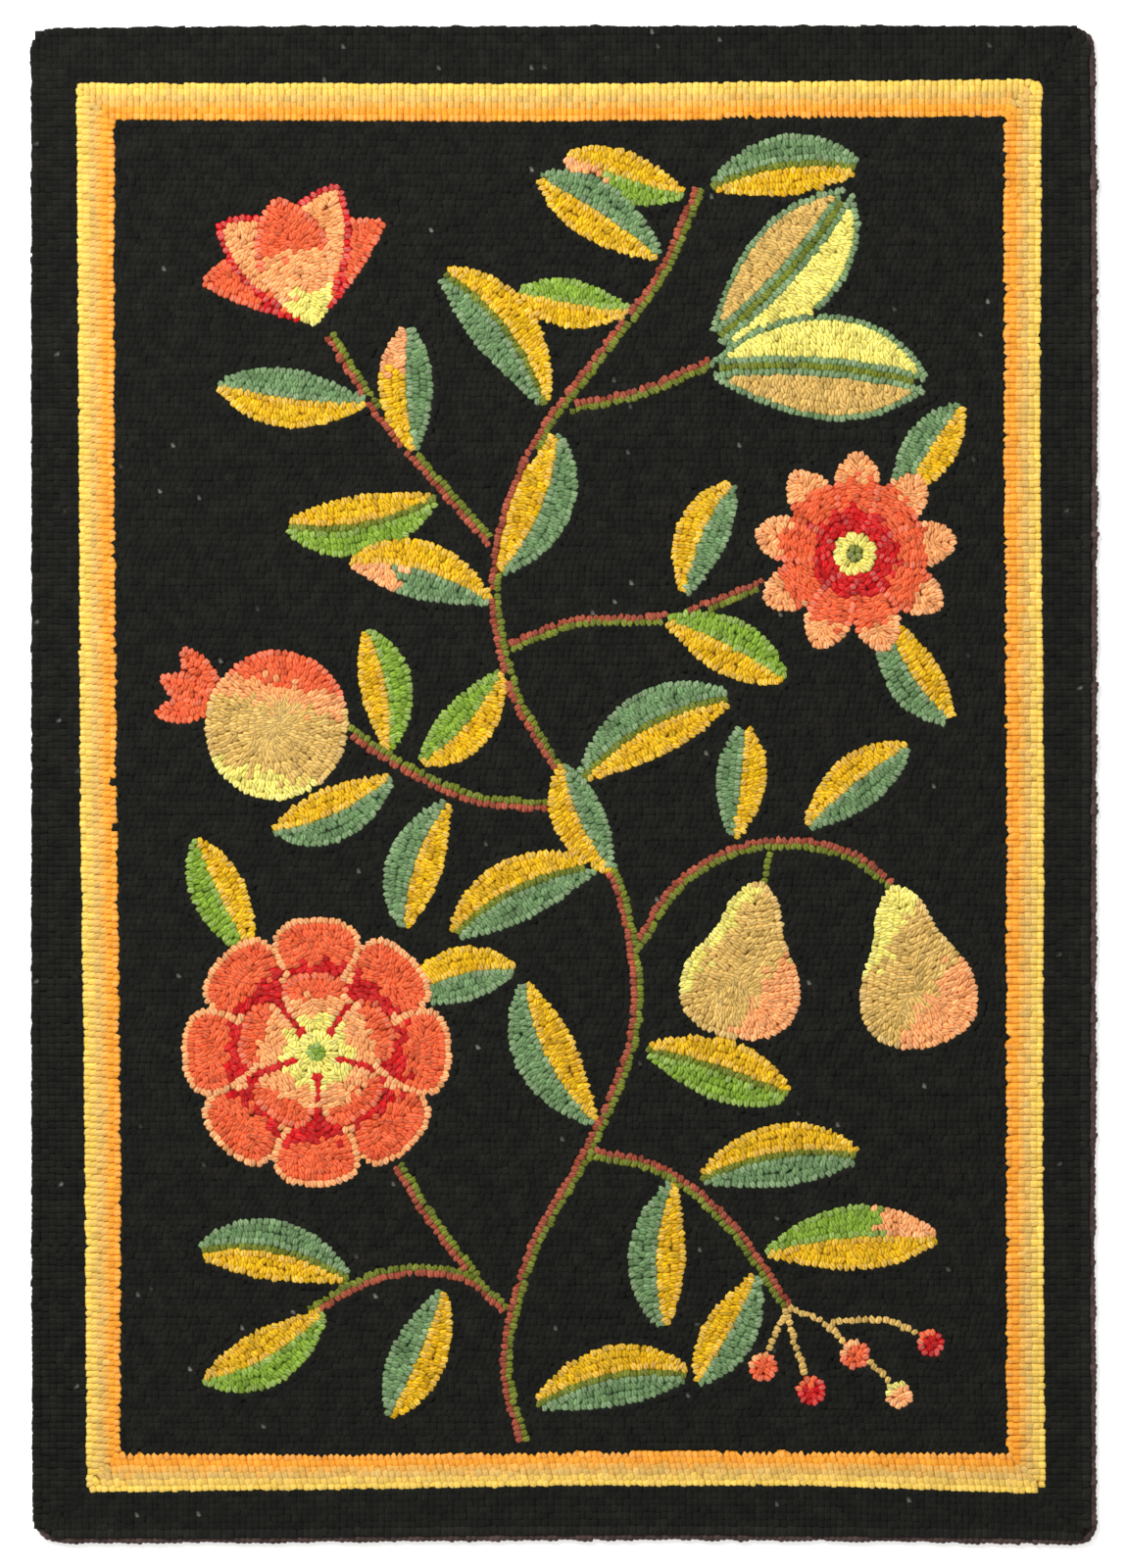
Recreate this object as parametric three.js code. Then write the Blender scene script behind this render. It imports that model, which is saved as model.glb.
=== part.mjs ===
// Hooked wool rug, lying flat with its pile up.
// Millimetres. +X runs across the rug, +Y along its length, +Z up from the floor.
import * as THREE from "three";

// Driving dimensions of the whole rug
const rugWidth = 533;
const rugLength = 761;

// The mat is the foundation cloth with the loops hooked through it, to the tips of the loops
const matHeight = 8;
const matRounding = 1.2;
const matColour = 0x22221f;

// The whipped edge is a filler cord overcast with yarn, right round the mat
const edgeWidth = 3.2;
const edgeHeight = 5;
const edgeRounding = 1.2;
const edgeColour = 0x2b231c;

// Clear space between the two pieces
const gap = 0.3;

// Steps that stand for each rounded corner and each rounded arris
const cornerSteps = 4;
const roundingSteps = 2;

// How far each side lies outside (+) or inside (-) its true straight line, at even steps
// along it: the ends run from left to right, and the long sides from bottom to top
const straying = [
  { bottom: -0.5, top: -1.0, left: 0.1, right: 0.3 },
  { bottom: -0.6, top: 0.1, left: 0.6, right: -0.5 },
  { bottom: -1.7, top: 0.0, left: 0.7, right: 0.1 },
  { bottom: -2.2, top: 0.2, left: 0.5, right: 0.4 },
  { bottom: -1.3, top: 0.3, left: 0.6, right: 0.7 },
  { bottom: 0.2, top: -0.2, left: 0.3, right: -0.6 },
];

// The corners in turn, anticlockwise from bottom left: which way each lies and its radius
const corners = [
  { side: "left", end: "bottom", x: -1, y: -1, radius: 14 },
  { side: "right", end: "bottom", x: 1, y: -1, radius: 11 },
  { side: "right", end: "top", x: 1, y: 1, radius: 11 },
  { side: "left", end: "top", x: -1, y: 1, radius: 9 },
];

// How far a side strays at a corner, which is its first or its last step
function strayAtCorner(name, towards) {
  return straying.at(towards < 0 ? 0 : -1)[name];
}

// The points of one side between its two corners, inset from the rug's edge.
// Sides leave their first corner in the direction that goes anticlockwise round the rug.
function sidePoints(name, inset) {
  const across = name === "bottom" || name === "top";
  const outward = name === "bottom" || name === "left" ? -1 : 1;
  const half = across ? rugLength / 2 : rugWidth / 2;
  const run = across ? rugWidth : rugLength;
  const points = straying.slice(1, -1).map((row, index) => {
    const along = ((index + 1) / (straying.length - 1) - 0.5) * run;
    const out = outward * (half + row[name] - inset);
    return across ? new THREE.Vector2(along, out) : new THREE.Vector2(out, along);
  });
  return name === "top" || name === "left" ? points.reverse() : points;
}

// One corner as an arc a quarter of a turn long, inset from the rug's edge
function cornerCurve(corner, inset) {
  const radius = corner.radius;
  const x = corner.x * (rugWidth / 2 + strayAtCorner(corner.side, corner.y) - radius);
  const y = corner.y * (rugLength / 2 + strayAtCorner(corner.end, corner.x) - radius);
  const start = Math.atan2(corner.y, corner.x) - Math.PI / 4;
  return new THREE.ArcCurve(x, y, radius - inset, start, start + Math.PI / 2, false);
}

// The rug's whole outline, inset evenly, anticlockwise
function outline(inset) {
  const following = ["bottom", "right", "top", "left"];
  return corners.flatMap((corner, index) => [
    ...cornerCurve(corner, inset).getPoints(cornerSteps),
    ...sidePoints(following[index], inset),
  ]);
}

// A flat piece of one height whose arrises are all rounded, standing on the floor
function roundedSlab(shape, height, rounding) {
  const slab = new THREE.ExtrudeGeometry(shape, {
    depth: height - 2 * rounding,
    bevelEnabled: true,
    bevelThickness: rounding,
    bevelSize: rounding,
    bevelSegments: roundingSteps,
  });
  return slab.translate(0, 0, rounding);
}

function wool(color) {
  return new THREE.MeshStandardMaterial({ color, roughness: 0.95, metalness: 0 });
}

function hookedMat() {
  const shape = new THREE.Shape(outline(edgeWidth + gap + matRounding));
  const mat = new THREE.Mesh(roundedSlab(shape, matHeight, matRounding), wool(matColour));
  mat.name = "hooked_mat";
  return mat;
}

function whippedEdge() {
  const shape = new THREE.Shape(outline(edgeRounding));
  shape.holes.push(new THREE.Path(outline(edgeWidth - edgeRounding)));
  const edge = new THREE.Mesh(roundedSlab(shape, edgeHeight, edgeRounding), wool(edgeColour));
  edge.name = "whipped_edge";
  return edge;
}

// The rug is centred over the origin by its outermost points, and stands on the floor
const rug = new THREE.Group();
rug.add(hookedMat(), whippedEdge());
const extent = new THREE.Box3().setFromObject(rug);
const middle = extent.getCenter(new THREE.Vector3());
rug.position.set(-middle.x, -middle.y, -extent.min.z);

export default rug;
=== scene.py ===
from collections import namedtuple
from functools import lru_cache, partial

import bpy
import numpy as np
from bpy.props import FloatProperty, FloatVectorProperty, IntProperty, PointerProperty
from bpy.types import Operator, Panel, PropertyGroup
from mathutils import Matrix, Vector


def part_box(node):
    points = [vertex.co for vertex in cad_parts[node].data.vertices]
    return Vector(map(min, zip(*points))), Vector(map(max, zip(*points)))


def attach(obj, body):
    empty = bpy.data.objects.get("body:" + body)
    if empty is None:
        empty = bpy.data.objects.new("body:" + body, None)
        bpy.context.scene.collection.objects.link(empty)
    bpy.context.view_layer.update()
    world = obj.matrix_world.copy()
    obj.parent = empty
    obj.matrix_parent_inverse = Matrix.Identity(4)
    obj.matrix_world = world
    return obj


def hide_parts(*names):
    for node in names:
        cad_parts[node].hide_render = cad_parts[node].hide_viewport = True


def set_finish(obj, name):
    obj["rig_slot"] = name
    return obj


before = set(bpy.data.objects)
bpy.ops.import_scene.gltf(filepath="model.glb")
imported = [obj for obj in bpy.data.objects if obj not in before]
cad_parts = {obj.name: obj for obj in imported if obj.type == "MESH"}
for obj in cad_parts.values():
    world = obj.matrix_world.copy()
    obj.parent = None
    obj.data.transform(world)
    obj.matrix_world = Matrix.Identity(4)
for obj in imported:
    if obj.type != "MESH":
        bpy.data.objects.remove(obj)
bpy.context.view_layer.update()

bl_info = {
    "name": "Hooked rug",
    "version": (1, 0, 0),
    "blender": (4, 5, 0),
    "location": "3D View > Sidebar > Rug",
    "description": "Hooks a wool rug loop by loop through its foundation cloth",
    "category": "Mesh",
}

# Points on the cloth are in millimetres, as they would be marked out, and meshes are in metres
MM = 0.001

PILE_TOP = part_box("hooked_mat")[1].z
EDGE_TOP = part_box("whipped_edge")[1].z
HALF_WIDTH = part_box("whipped_edge")[1].x / MM
HALF_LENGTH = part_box("whipped_edge")[1].y / MM


# Yarns


# Each lot's main shade, the shade of its stray duller strands, how much light its nap catches,
# the record's slot and its use
Yarn = namedtuple("Yarn", "shade heather nap slot use")
YARNS = {
    "black": Yarn("#1b1c19", "#23221f", 0.02, "wool_black", "ground and outer border"),
    "edge": Yarn("#5f4e4b", "#463835", 0.03, "edge_yarn", "whipping round the edge"),
    "straw": Yarn("#f4d05a", "#e6bf4a", 0.06, "wool_straw", "outer rows of the frame line"),
    "tan": Yarn("#dbb565", "#cca654", 0.06, "wool_tan", "middle rows of the frame line and fruit"),
    "orange": Yarn("#f2a430", "#e59226", 0.06, "wool_orange", "inner rows of the frame line"),
    "mustard": Yarn("#e6b704", "#cf9c02", 0.06, "wool_mustard", "sunlit halves of the leaves"),
    "sage": Yarn("#709260", "#5b7b4e", 0.06, "wool_sage", "shaded halves of the leaves"),
    "leaf": Yarn("#86a932", "#6e8f26", 0.06, "wool_leaf", "fresh green leaves"),
    "moss": Yarn("#768121", "#606a1c", 0.06, "wool_moss", "veins and green stems"),
    "lemon": Yarn("#f5e879", "#e2d361", 0.06, "wool_lemon", "highlights and flower eyes"),
    "peach": Yarn("#f9ac6d", "#eb9756", 0.06, "wool_peach", "pale petals and blush"),
    "coral": Yarn("#ec6739", "#dc5229", 0.06, "wool_coral", "petals"),
    "red": Yarn("#d10b12", "#b2060c", 0.06, "wool_red", "deep petal shading"),
    "rust": Yarn("#a85139", "#8c3c28", 0.06, "wool_rust", "woody stems"),
}
YARN_NAMES = tuple(YARNS)


def linear(hex_colour):
    """An sRGB hex colour as the linear red, green, blue and alpha that shaders take."""
    srgb = np.array([int(hex_colour[at : at + 2], 16) for at in (1, 3, 5)]) / 255
    return (*np.where(srgb <= 0.04045, srgb / 12.92, ((srgb + 0.055) / 1.055) ** 2.4).tolist(), 1.0)


# Settings


def yarn_colour(name, part):
    """The colour that the sidebar shows for one yarn's main or heather shade."""
    yarn = YARNS[name]
    return FloatVectorProperty(
        name=f"{name.capitalize()} {part}",
        description=f"Colour of the {name} wool's {part}, for the {yarn.use}",
        default=linear(getattr(yarn, part)),
        size=4,
        min=0.0,
        max=1.0,
        subtype="COLOR",
    )


class RugYarns(PropertyGroup):
    """The colours of every yarn, as name_shade and name_heather."""

    __annotations__ = {
        f"{name}_{part}": yarn_colour(name, part) for name in YARNS for part in ("shade", "heather")
    }


def measure(name, description, default):
    """A measure that the sidebar shows, from its default in millimetres."""
    return FloatProperty(name=name, description=description, default=default * MM, unit="LENGTH")


class RugSettings(PropertyGroup):
    """Sizes of the pile, the cloth and the whipped edge."""

    pitch_across: measure("Pitch across", "From one loop to the next across the rug's width", 3.15)
    pitch_along: measure("Pitch along", "From one loop to the next along the rug's length", 3.28)
    pile_top: measure("Pile top", "Height of the tallest loops above the floor", PILE_TOP / MM)
    cloth_top: measure("Cloth top", "Height above the floor of the packed feet of the loops", 4.0)
    edge_width: measure("Edge width", "Width of the whipped cord round the edge", 4.0)
    whip_pitch: measure("Whipping pitch", "From one turn of the whipping yarn to the next", 2.9)
    seed: IntProperty(
        name="Seed",
        description="Start of the random unevenness of hand hooking",
        default=11,
        min=0,
    )
    yarns: PointerProperty(type=RugYarns)


def settings():
    """The sizes and colours that the sidebar holds."""
    return bpy.context.scene.hooked_rug


# Courses
#
# A course goes once round the rug. It holds how far each of its sides lies from the rug's
# centre, in millimetres at even steps from left to right or from bottom to top.


SIDES = ("bottom", "right", "top", "left")
RUG_EDGE = {
    "bottom": (380.0, 379.9, 378.8, 378.3, 379.2, 380.7),
    "right": (266.8, 266.0, 266.6, 266.9, 267.2, 265.9),
    "top": (379.5, 380.6, 380.5, 380.7, 380.8, 380.3),
    "left": (266.6, 267.1, 267.2, 267.0, 267.1, 266.8),
}
FRAME_OUTSIDE = {
    "bottom": (355.2, 353.3, 351.1, 351.2, 356.0),
    "right": (241.8, 240.1, 240.9, 238.6, 239.8),
    "top": (351.8, 351.9, 351.5, 352.7, 354.1),
    "left": (238.9, 240.1, 242.5, 243.1, 244.8),
}
FRAME_INSIDE = {
    "bottom": (334.8, 336.3, 335.1, 334.9, 334.9),
    "right": (222.1, 222.0, 222.0, 221.1, 220.6),
    "top": (334.0, 333.2, 332.9, 334.5, 335.0),
    "left": (222.9, 222.6, 224.5, 225.9, 225.4),
}

# Corner radii, anticlockwise from the bottom left, of the edge, the field and the frame line
LEAST_RADIUS = 0.5
EDGE_CORNERS = (14.0, 9.0, 11.0, 9.0)
SQUARE_CORNERS = (LEAST_RADIUS,) * 4
FRAME_CORNERS = (1.0, 6.0, 1.0, 1.0)

# Wools of the rows from the outside of the rug to the field
BORDER_ROWS = {side: ("black",) * count for side, count in zip(SIDES, (7, 7, 8, 7))}
FRAME_WOOLS = ("straw", "straw", "tan", "tan", "orange", "orange")
FRAME_ROWS = dict.fromkeys(SIDES, FRAME_WOOLS)

# Width of a row of the frame line, where holes in it are filled
FRAME_ROW_WIDTH = 3.1

# The second of the two rows of each frame wool is shaded into the next wool by this share, and
# every loop of the frame line as unevenly as this
SHADED_ROW = 0.45
SHADING_JITTER = 0.12
SHADES_INTO = {"straw": "tan", "tan": "orange"}

# Share of a pitch that each frame row is shifted along from the last, so that its ribs slant
RIB_SLANT = {"bottom": -0.22, "right": 0.0, "top": 0.0, "left": -0.1}

# Where the frame line's inner edge gapes and black shows: places and reaches
GAPS = ((-225.2, 2.0, 3.4), (-225.4, -20.0, 1.8))

# How far in from the rug's edge the rows of the border start, how much further in the middles
# of its loops stay, and how far in the hem lies
LOOP_ROOM = {"bottom": 3.2, "right": 3.8, "top": 1.5, "left": 1.5}
LOOP_MARGIN = 0.8
HEM_ROOM = 1.8

# Points along a side of a ring, round its corner, and along a side of a course between two others
SIDE_STEPS = 120
CORNER_STEPS = 9
COURSE_STEPS = 13


def inset(course, by):
    """A course drawn in, evenly or by its own amount on each side."""
    amounts = by if isinstance(by, dict) else dict.fromkeys(SIDES, by)
    return {side: np.subtract(course[side], amounts[side]) for side in SIDES}


def side_ends(course, side):
    """Where one side starts and ends along its own direction."""
    end = 0 if side in ("bottom", "left") else -1
    low, high = ("left", "right") if side in ("bottom", "top") else ("bottom", "top")
    return -course[low][end], course[high][end]


def side_points(course, side, run):
    """Points of one side at the given places along its own direction."""
    reach = np.interp(run, np.linspace(*side_ends(course, side), len(course[side])), course[side])
    if side in ("bottom", "top"):
        return np.stack([run, reach if side == "top" else -reach], axis=1)
    return np.stack([reach if side == "right" else -reach, run], axis=1)


def ring(course, radii):
    """A course as one closed line, anticlockwise, whose corners are arcs of the given radii.

    Each side runs up to one radius from its ends. The arc after it turns a quarter about the
    point one radius inwards from there.
    """
    line = []
    for index, side in enumerate(SIDES):
        forward = side in ("bottom", "right")
        radius = radii[(index + 1) % 4]
        low_radius, high_radius = (radii[index], radius) if forward else (radius, radii[index])
        start, end = side_ends(course, side)
        run = np.linspace(start + low_radius, end - high_radius, SIDE_STEPS)
        points = side_points(course, side, run if forward else run[::-1])
        heading = 0.5 * np.pi * index
        centre = points[-1] + radius * np.array([-np.sin(heading), np.cos(heading)])
        turn = heading - 0.5 * np.pi + np.linspace(0, 0.5 * np.pi, CORNER_STEPS)[1:-1]
        line += [points, centre + radius * np.stack([np.cos(turn), np.sin(turn)], axis=1)]
    return np.concatenate(line)


def edge_ring(by):
    """The rug's outline, inset evenly or by its own amount on each side."""
    least = min(by.values()) if isinstance(by, dict) else by
    radii = [max(radius - least, LEAST_RADIUS) for radius in EDGE_CORNERS]
    return ring(inset(RUG_EDGE, by), radii)


# Lines and outlines on the cloth


# Steps of a curve from one of its points to the next, and points along a blade and round a disc
CURVE_STEPS = 12
BLADE_POINTS = 61
DISC_POINTS = 72


def travelled(line):
    """The distance along a line up to each of its points."""
    return np.concatenate([[0], np.cumsum(np.hypot(*np.diff(line, axis=0).T))])


def resample(line, step, closed):
    """Points at even distances along a line, and the direction of the line at each."""
    if closed:
        line = np.concatenate([line, line[:1]])
    pieces = np.diff(line, axis=0)
    way = travelled(line)
    count = max(int(round(way[-1] / step)), 1)
    at = (np.arange(count) + 0.5) * way[-1] / count
    points = np.stack([np.interp(at, way, column) for column in line.T], axis=1)
    piece = np.clip(np.searchsorted(way, at) - 1, 0, len(pieces) - 1)
    return points, np.arctan2(pieces[piece, 1], pieces[piece, 0])


def even_points(line, count):
    """A number of points at even distances round a closed line, from its start."""
    closed = np.concatenate([line, line[:1]])
    way = travelled(closed)
    at = np.arange(count) / count * way[-1]
    return np.stack([np.interp(at, way, column) for column in closed.T], axis=1)


def offset(line, by, closed):
    """A line moved to its own left, point by point along its normals."""
    if closed:
        along = np.roll(line, -1, axis=0) - np.roll(line, 1, axis=0)
    else:
        along = np.gradient(line, axis=0)
    along = along / np.maximum(np.hypot(*along.T), 1e-9)[:, None]
    return line + by * np.stack([-along[:, 1], along[:, 0]], axis=1)


def smooth(points):
    """A curve through a few points, that runs at each one along the line between its neighbours.

    Between two points it is the cubic, with u from 0 to 1, that has those places and directions.
    """
    points = np.asarray(points, float)
    padded = np.concatenate([2 * points[:1] - points[1:2], points, 2 * points[-1:] - points[-2:-1]])
    before, start, end, after = (padded[at : at + len(points) - 1, None] for at in range(4))
    u = np.linspace(0, 1, CURVE_STEPS, endpoint=False)[None, :, None]
    curve = 0.5 * (
        2 * start
        + (end - before) * u
        + (2 * before - 5 * start + 4 * end - after) * u**2
        + (3 * start - before - 3 * end + after) * u**3
    )
    return np.concatenate([curve.reshape(-1, 2), points[-1:]])


def inside(points, outline):
    """Which points an outline holds: a ray to their right crosses it an odd number of times."""
    x, y = points[:, :1], points[:, 1:]
    (x0, y0), (x1, y1) = outline.T, np.roll(outline, -1, axis=0).T
    rise = np.where(y1 == y0, 1.0, y1 - y0)
    crossed = ((y0 > y) != (y1 > y)) & (x < x0 + (y - y0) * (x1 - x0) / rise)
    return crossed.sum(axis=1) % 2 == 1


def distance(points, outline):
    """How far each point is from the nearest point of a closely spaced outline."""
    return np.sqrt(((points[:, None] - outline[None]) ** 2).sum(axis=2).min(axis=1))


# Marks that the design is drawn with
#
# A row is one line of loops. A patch is a closed outline, anticlockwise, filled with wools that
# change at fractions of the way from its start to its end. Its rim is the wool of its first row.


Row = namedtuple("Row", "wool line")
Patch = namedtuple("Patch", "outline start end zones rim")

# Where along a blade its waist is and how far it reaches, as shares of the length
WAIST_PLACE = 0.3
WAIST_REACH = 0.16


def placed(points, x, y, heading):
    """Points turned by a heading in degrees and moved to a place."""
    turn = np.radians(heading)
    across = np.array([[np.cos(turn), np.sin(turn)], [-np.sin(turn), np.cos(turn)]])
    return np.asarray(points, float) @ across + (x, y)


def blade(x, y, heading, length, width, bow=0.0, curl=0.0, rise=0.9, taper=1.6, fall=0.9, waist=0.0):
    """The left edge, the midrib and the right edge of a leaf, petal or fruit.

    With u from 0 at the base to 1 at the tip, the midrib strays to its left by
    bow * 4u(1 - u) + curl * u^3 of the length. The half-width goes as
    u^rise * (1 - u^taper)^fall, drawn in by the waist as a bell curve.
    """
    u = np.linspace(0, 1, BLADE_POINTS)
    midrib = length * np.stack([u, bow * 4 * u * (1 - u) + curl * u**3], axis=1)
    drawn_in = waist * np.exp(-(((u - WAIST_PLACE) / WAIST_REACH) ** 2))
    swell = u**rise * (1 - u**taper) ** fall * (1 - drawn_in)
    half = 0.5 * width * swell / swell.max()
    along = np.gradient(midrib, axis=0)
    along /= np.hypot(*along.T)[:, None]
    left = np.stack([-along[:, 1], along[:, 0]], axis=1) * half[:, None]
    return tuple(placed(line, x, y, heading) for line in (midrib + left, midrib, midrib - left))


def whole(edges, zones, rim=None):
    """One patch over both halves of a blade."""
    left, midrib, right = edges
    return Patch(np.concatenate([right, left[-2:0:-1]]), midrib[0], midrib[-1], zones, rim)


def disc(x, y, radius, zones, heading=0.0, squash=1.0):
    """A round patch whose zones run across it along a heading."""
    turn = np.linspace(0, 2 * np.pi, DISC_POINTS, endpoint=False)
    outline = placed(radius * np.stack([np.cos(turn), squash * np.sin(turn)], axis=1), x, y, heading)
    start, end = placed([[-radius, 0], [radius, 0]], x, y, heading)
    return Patch(outline, start, end, zones, None)


def plain(wool):
    """The zones of a patch in one wool."""
    return ((1.0, wool),)


# The design
#
# One winding branch bears leaves, pears, a pomegranate, a rosette, a daisy, a tulip and berries.
# Places are from the rug's centre, headings in degrees anticlockwise from the right.


# Room that a vein takes on each side of a midrib, and where along a leaf its tip starts
VEIN_ROOM = 1.6
TIP_START = 0.64

# The values of a leaf up to its curl, and of a broad leaf up to its bow, are those of its blade
Leaf = namedtuple(
    "Leaf", "x y heading length width bow curl left right tip vein", defaults=(None, None)
)
LEAVES = (
    # Low on the main branch
    Leaf(-18, -314, 16, 86, 31, 0.07, -0.08, "mustard", "sage", None, "moss"),
    Leaf(18, -172, 122, 84, 32, 0.06, -0.10, "sage", "mustard"),
    Leaf(36, -132, -22, 84, 31, 0.06, 0.08, "mustard", "leaf", None, "moss"),
    # Low left branch
    Leaf(-60, -250, 243, 74, 29, 0.06, 0.08, "mustard", "sage"),
    Leaf(-104, -250, 164, 84, 31, -0.07, 0.10, "mustard", "sage", None, "moss"),
    Leaf(-118, -262, 214, 74, 29, 0.06, -0.08, "leaf", "mustard"),
    # Low right branch
    Leaf(56, -196, 262, 78, 29, -0.06, 0.08, "mustard", "sage"),
    Leaf(64, -200, 14, 88, 32, 0.05, -0.10, "mustard", "sage", None, "moss"),
    Leaf(98, -236, 2, 92, 33, 0.07, 0.06, "leaf", "mustard", "peach"),
    # Middle
    Leaf(26, -46, 118, 64, 27, 0.05, -0.06, "mustard", "sage"),
    Leaf(22, -40, 200, 88, 32, -0.06, 0.10, "sage", "mustard", None, "moss"),
    Leaf(6, 0, 34, 92, 34, 0.06, -0.10, "sage", "mustard", None, "moss"),
    Leaf(-30, 60, 232, 66, 27, 0.06, -0.06, "mustard", "leaf"),
    Leaf(-34, 90, 160, 78, 30, -0.06, 0.08, "sage", "mustard", "peach"),
    Leaf(-34, 104, 62, 80, 31, -0.06, 0.10, "mustard", "sage"),
    # Above the pears
    Leaf(120, -24, 36, 70, 28, 0.06, 0.06, "mustard", "sage"),
    Leaf(84, -30, 88, 62, 26, -0.05, -0.08, "sage", "mustard"),
    # Right upper branch
    Leaf(48, 84, -30, 72, 29, 0.06, 0.06, "leaf", "mustard"),
    Leaf(60, 92, 70, 66, 27, 0.05, -0.06, "mustard", "sage"),
    # Left upper branch
    Leaf(-60, 146, 196, 84, 31, 0.06, -0.10, "leaf", "mustard", None, "moss"),
    Leaf(-74, 164, 90, 68, 28, 0.07, 0.06, "mustard", "sage", "peach"),
    # Top
    Leaf(-8, 186, 122, 92, 33, -0.06, 0.10, "sage", "mustard", None, "moss"),
    Leaf(36, 238, 168, 62, 25, 0.05, 0.05, "mustard", "leaf"),
    Leaf(50, 262, 150, 78, 30, -0.06, -0.08, "mustard", "sage"),
    Leaf(70, 298, 12, 82, 31, 0.06, -0.08, "sage", "mustard", None, "moss"),
    Leaf(64, 296, 158, 68, 27, 0.06, 0.08, "leaf", "mustard", "peach"),
    # About the flowers and fruit
    Leaf(-84, -110, 20, 64, 28, 0.06, -0.08, "mustard", "sage"),
    Leaf(-154, -88, 112, 70, 28, 0.06, 0.08, "leaf", "mustard"),
    Leaf(-56, -6, 246, 72, 29, -0.06, 0.08, "mustard", "sage"),
    Leaf(-84, 6, 208, 70, 28, 0.06, -0.06, "sage", "mustard"),
    Leaf(-88, 14, 96, 66, 27, -0.05, 0.08, "mustard", "leaf"),
    Leaf(-96, 192, 170, 80, 30, 0.06, 0.06, "mustard", "sage"),
    Leaf(160, 88, -62, 68, 28, -0.05, 0.08, "mustard", "sage"),
    Leaf(166, 138, 54, 64, 27, 0.05, 0.06, "sage", "mustard"),
    Leaf(98, -242, 238, 68, 27, 0.06, 0.06, "sage", "mustard"),
)

BroadLeaf = namedtuple("BroadLeaf", "x y heading length width bow left right")
BROAD_LEAVES = (
    BroadLeaf(72, 208, -4, 112, 54, 0.05, "lemon", "tan"),
    BroadLeaf(74, 222, 48, 104, 50, -0.05, "tan", "lemon"),
)

# From one row of a stem to the next
STEM_ROW_ROOM = 3.2

Stem = namedtuple("Stem", "wools points")
STEMS = (
    Stem(
        ("rust", "moss"),
        (
            (-20, -330), (-29, -290), (-16, -235), (14, -180), (36, -120), (30, -60),
            (4, -5), (-26, 50), (-34, 110), (-14, 170), (22, 220), (50, 258), (68, 300),
        ),
    ),
    Stem(("rust", "moss"), ((-24, -268), (-52, -246), (-92, -246), (-130, -268), (-150, -300))),
    Stem(("rust", "moss"), ((-42, -250), (-62, -224), (-84, -190))),
    Stem(("rust", "moss"), ((12, -184), (50, -194), (84, -222), (112, -262))),
    Stem(("rust", "moss"), ((35, -84), (60, -48), (98, -30), (140, -34), (164, -50))),
    Stem(("rust", "moss"), ((8, -10), (-40, -8), (-82, 10), (-116, 34))),
    Stem(("rust", "moss"), ((-30, 68), (8, 82), (54, 84), (104, 102))),
    Stem(("rust", "moss"), ((-33, 118), (-60, 148), (-92, 186), (-118, 226))),
    Stem(("rust", "moss"), ((-4, 188), (36, 196), (74, 212))),
    Stem(("moss",), ((104, -30), (100, -50))),
)

Ring = namedtuple("Ring", "petals turn inner outer width rise taper fall zones rim")
Bloom = namedtuple("Bloom", "x y eye rings bed")
BLOOMS = (
    Bloom(
        -124, -134,
        (("leaf", 5), ("lemon", 11)),
        (
            Ring(
                5, 20, 8, 40, 34, 0.6, 4.0, 0.5,
                ((0.30, "lemon"), (0.62, "peach"), (1.0, "coral")), None,
            ),
            Ring(8, 0, 24, 68, 45, 0.6, 4.0, 0.5, ((0.46, "red"), (1.0, "coral")), "peach"),
        ),
        ("red", 40),
    ),
    Bloom(
        146, 116,
        (("moss", 4), ("lemon", 11)),
        (Ring(9, 8, 8, 52, 24, 0.6, 2.6, 0.7, ((0.30, "red"), (0.66, "coral"), (1.0, "peach")), None),),
        ("red", 20),
    ),
)

Petal = namedtuple("Petal", "turn length width bow zones rim")
Tulip = namedtuple("Tulip", "x y heading petals")
TULIPS = (
    Tulip(
        -124, 230, 108,
        (
            Petal(0, 68, 38, 0.0, ((0.25, "lemon"), (0.55, "peach"), (1.0, "coral")), None),
            Petal(27, 72, 36, -0.10, ((0.40, "coral"), (1.0, "peach")), "red"),
            Petal(-27, 72, 36, 0.10, ((0.40, "coral"), (1.0, "peach")), "red"),
            Petal(52, 62, 28, -0.18, ((0.45, "red"), (1.0, "coral")), None),
            Petal(-52, 62, 28, 0.18, ((0.45, "red"), (1.0, "coral")), None),
        ),
    ),
)

Pear = namedtuple("Pear", "x y heading length width")
PEARS = (
    Pear(98, -48, -100, 81, 61),
    Pear(166, -50, -78, 84, 60),
)

# Zones from the pale side of a pear to its blushing one, and the heading that they run along
PEAR_ZONES = ((0.24, "lemon"), (0.76, "tan"), (1.0, "peach"))
BLUSH_HEADING = -35

Pomegranate = namedtuple("Pomegranate", "x y radius crown")
POMEGRANATES = (Pomegranate(-144, 30, 38, 158),)
POMEGRANATE_ZONES = ((0.22, "coral"), (0.36, "peach"), (0.82, "tan"), (1.0, "lemon"))

# How far the heading of its zones is turned from its crown
ZONES_TURN = 100

# The crown's points: how far inside the fruit they start, their length, width and directions
CROWN_DEPTH = 8
CROWN_SIZE = (34, 15)
CROWN_TURNS = (0, 32, -32)

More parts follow.
